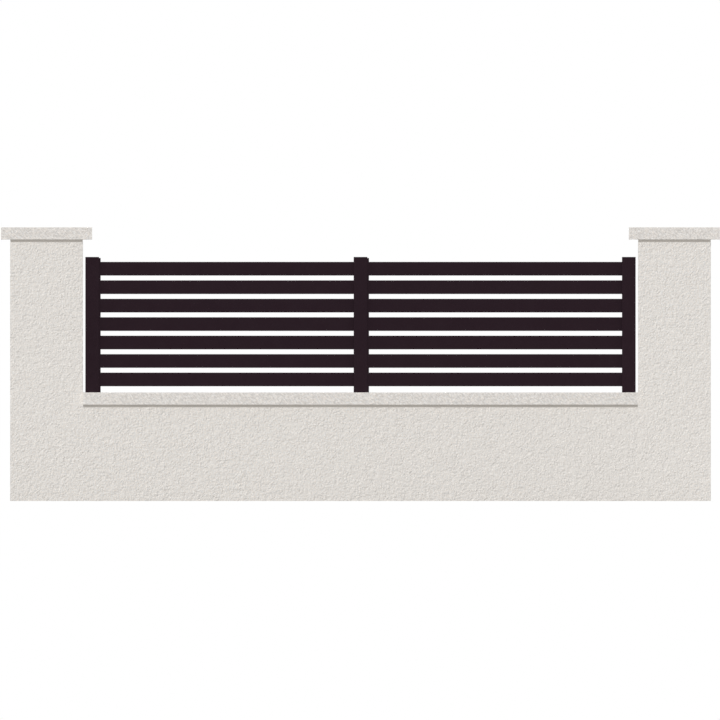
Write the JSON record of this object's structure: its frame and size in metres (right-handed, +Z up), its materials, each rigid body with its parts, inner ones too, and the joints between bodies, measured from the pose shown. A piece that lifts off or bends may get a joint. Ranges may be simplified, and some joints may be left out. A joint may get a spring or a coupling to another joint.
{
  "type": "slatted fence on a low wall",
  "caption": "Dark slatted aluminium fence with capped square posts, standing on a rendered low wall with a flat coping, between rendered piers with flat caps.",
  "frame": {"origin": "on the ground under the middle of the wall, centred between the piers and in the wall's thickness", "axes": "+X along the wall to the right as seen from the front, -Y out of the front face, +Z up"},
  "size_m": [3.94, 0.5, 1.5],
  "materials": {
    "render_coat": "pale warm grey roughcast render, matt",
    "cast_stone": "pale precast stone with a grained face, matt",
    "mortar": "grey bedding mortar, raked back, matt",
    "powder_coat": "dark plum brown fine-textured powder coat on aluminium, matt"
  },
  "bodies": {
    "root": {"base_wall": "render_coat", "coping_bed": "mortar", "wall_coping": "cast_stone", "pier_left": "render_coat", "cap_bed_left": "mortar", "pier_cap_left": "cast_stone", "pier_right": "render_coat", "cap_bed_right": "mortar", "pier_cap_right": "cast_stone", "post_left": "powder_coat", "post_middle": "powder_coat", "post_right": "powder_coat", "post_cap_left": "powder_coat", "post_cap_middle": "powder_coat", "post_cap_right": "powder_coat", "slat_channel_left_bay": "powder_coat", "slat_channel_right_bay": "powder_coat", "channel_cap_left_bay": "powder_coat", "channel_cap_right_bay": "powder_coat", "channel_spacers_left_bay": "powder_coat", "channel_spacers_right_bay": "powder_coat", "slats_left_bay": "powder_coat", "slats_right_bay": "powder_coat"}
  },
  "joints": []
}
